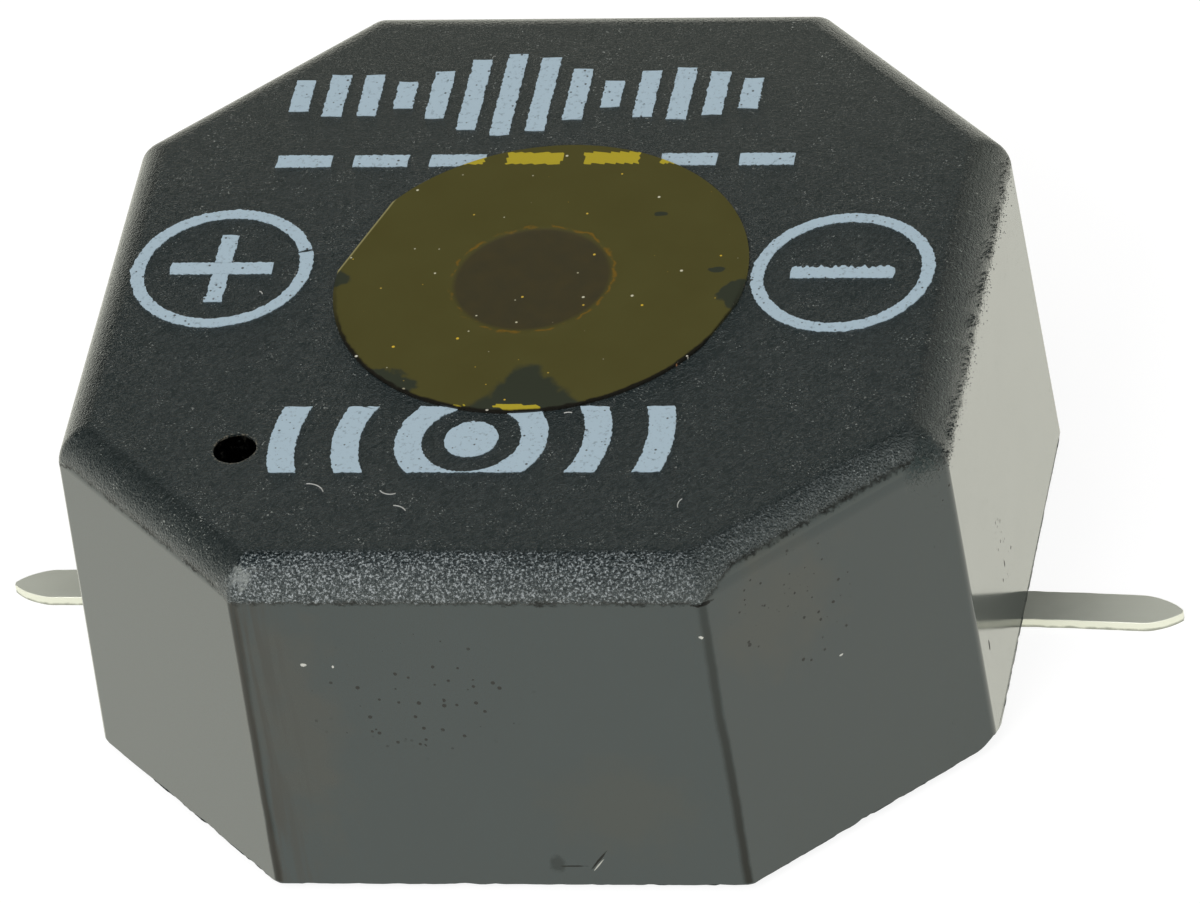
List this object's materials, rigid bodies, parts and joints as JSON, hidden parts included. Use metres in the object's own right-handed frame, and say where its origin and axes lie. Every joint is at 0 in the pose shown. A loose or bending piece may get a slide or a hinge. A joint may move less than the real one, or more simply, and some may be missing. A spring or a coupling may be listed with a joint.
{
  "type": "electronic buzzer",
  "caption": "Eight-sided potted piezo buzzer with a film over its sound hole, printed polarity marks and flat solder terminals that leave on opposite sides under the rim.",
  "frame": {"origin": "middle of the body, on the seating plane under the solder terminals", "axes": "+X towards the minus terminal, +Y to the back, +Z out of the sound hole"},
  "size_m": [0.0279, 0.021, 0.0094],
  "materials": {
    "housing_plastic": "satin",
    "film": "gloss",
    "ink": "matte",
    "terminal_metal": "satin",
    "potting_resin": "gloss",
    "brass_sheet": "satin",
    "silicone": "satin",
    "piezo": "matte",
    "silver": "satin",
    "board_laminate": "satin",
    "copper": "satin",
    "solder": "satin",
    "black_moulding": "matte",
    "lead_metal": "satin",
    "resistor_body": "satin",
    "capacitor_body": "satin",
    "red_insulation": "satin",
    "blue_insulation": "satin",
    "black_insulation": "satin"
  },
  "bodies": {
    "root": {"housing": "housing_plastic", "sealing_film": "film", "printed_marks": "ink", "diaphragm": "brass_sheet", "diaphragm_glue": "silicone", "piezo_ceramic": "piezo", "main_electrode": "silver", "feedback_electrode": "silver", "circuit_board": "board_laminate", "copper_tracks": "copper", "plus_terminal": "terminal_metal", "minus_terminal": "terminal_metal", "plus_terminal_solder": "solder", "minus_terminal_solder": "solder", "driver_transistor": "black_moulding", "transistor_leads": "lead_metal", "load_resistor": "resistor_body", "bias_resistor": "resistor_body", "feedback_resistor": "resistor_body", "supply_capacitor": "capacitor_body", "protection_diode": "black_moulding", "diode_leads": "lead_metal", "chip_solder": "solder", "main_wire": "red_insulation", "feedback_wire": "blue_insulation", "ground_wire": "black_insulation", "disc_joints": "solder", "board_joints": "solder", "potting": "potting_resin"}
  },
  "joints": []
}
